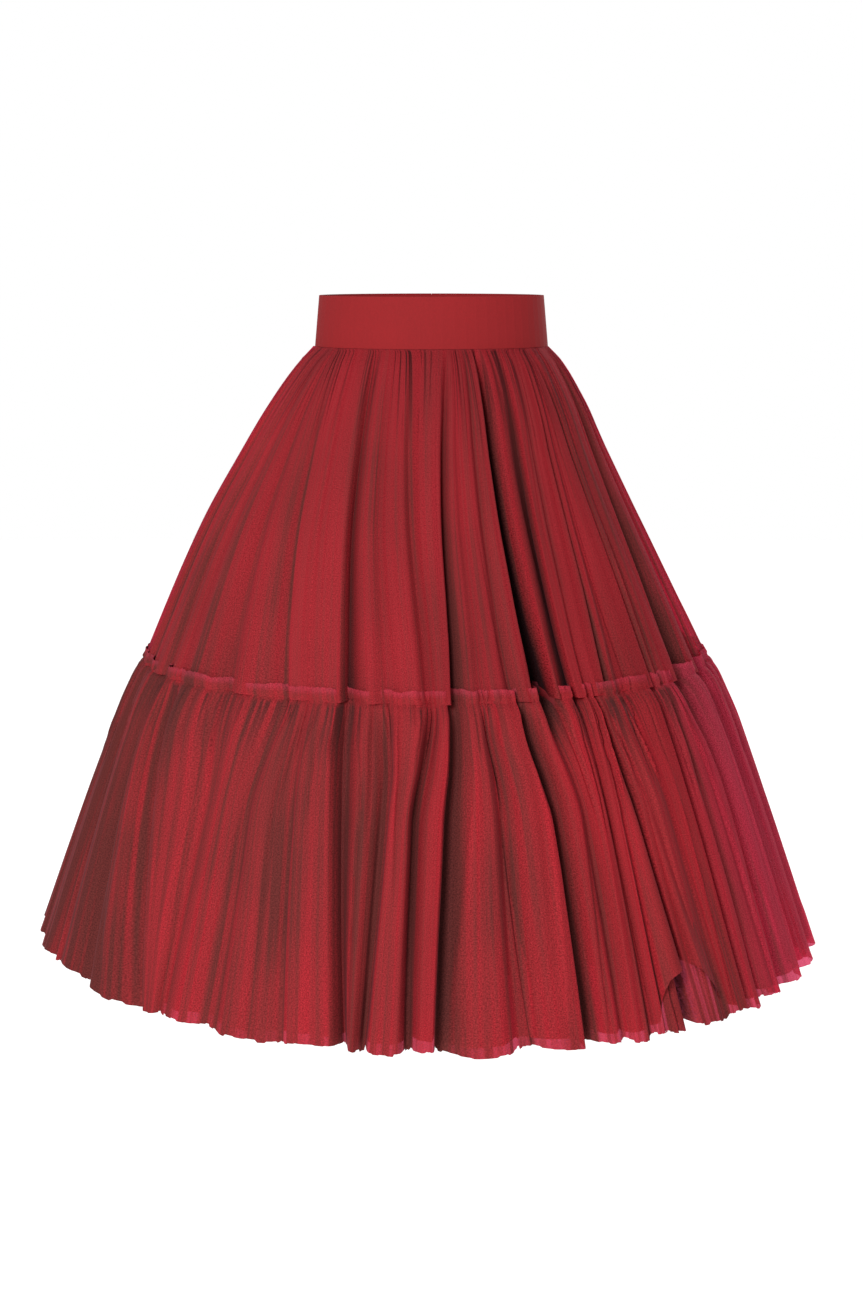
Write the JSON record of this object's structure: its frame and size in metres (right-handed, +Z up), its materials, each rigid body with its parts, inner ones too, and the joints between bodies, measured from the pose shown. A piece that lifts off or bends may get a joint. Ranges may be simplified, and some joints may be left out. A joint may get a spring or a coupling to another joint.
{
  "type": "tulle skirt",
  "caption": "Hollow worn-shape gathered skirt with a fitted waistband, an upper tier, a longer ruffle tier and a lining, with a back zip's pull tab that turns.",
  "frame": {"origin": "centre of the waistband, half way up its height, where the wearer's waist holds the skirt", "axes": "+Z up the wearer's body, -Y the way the wearer faces, +X the wearer's left"},
  "size_m": [0.862, 0.886, 0.7189],
  "materials": {
    "waistband": "matte crepe weave",
    "tulle": "soft gathered net, slightly see-through in one layer",
    "lining": "smooth plain weave",
    "zip": "dyed to match, satin"
  },
  "bodies": {
    "skirt": {"waistband_front": "waistband", "waistband_back_left": "waistband", "waistband_back_right": "waistband", "upper_front": "tulle", "upper_back_left": "tulle", "upper_back_right": "tulle", "ruffle_front": "tulle", "ruffle_back": "tulle", "lining_front": "lining", "lining_back_left": "lining", "lining_back_right": "lining", "zip_slider": "zip"},
    "zip_tab": {"zip_pull": "zip"}
  },
  "joints": [
    {"name": "zip_pull_turn", "type": "hinge", "parent": "skirt", "child": "zip_tab", "pos_m": [0, 0.1017, 0.0188], "axis": [1, 0, 0], "range_deg": [0, 150]}
  ]
}
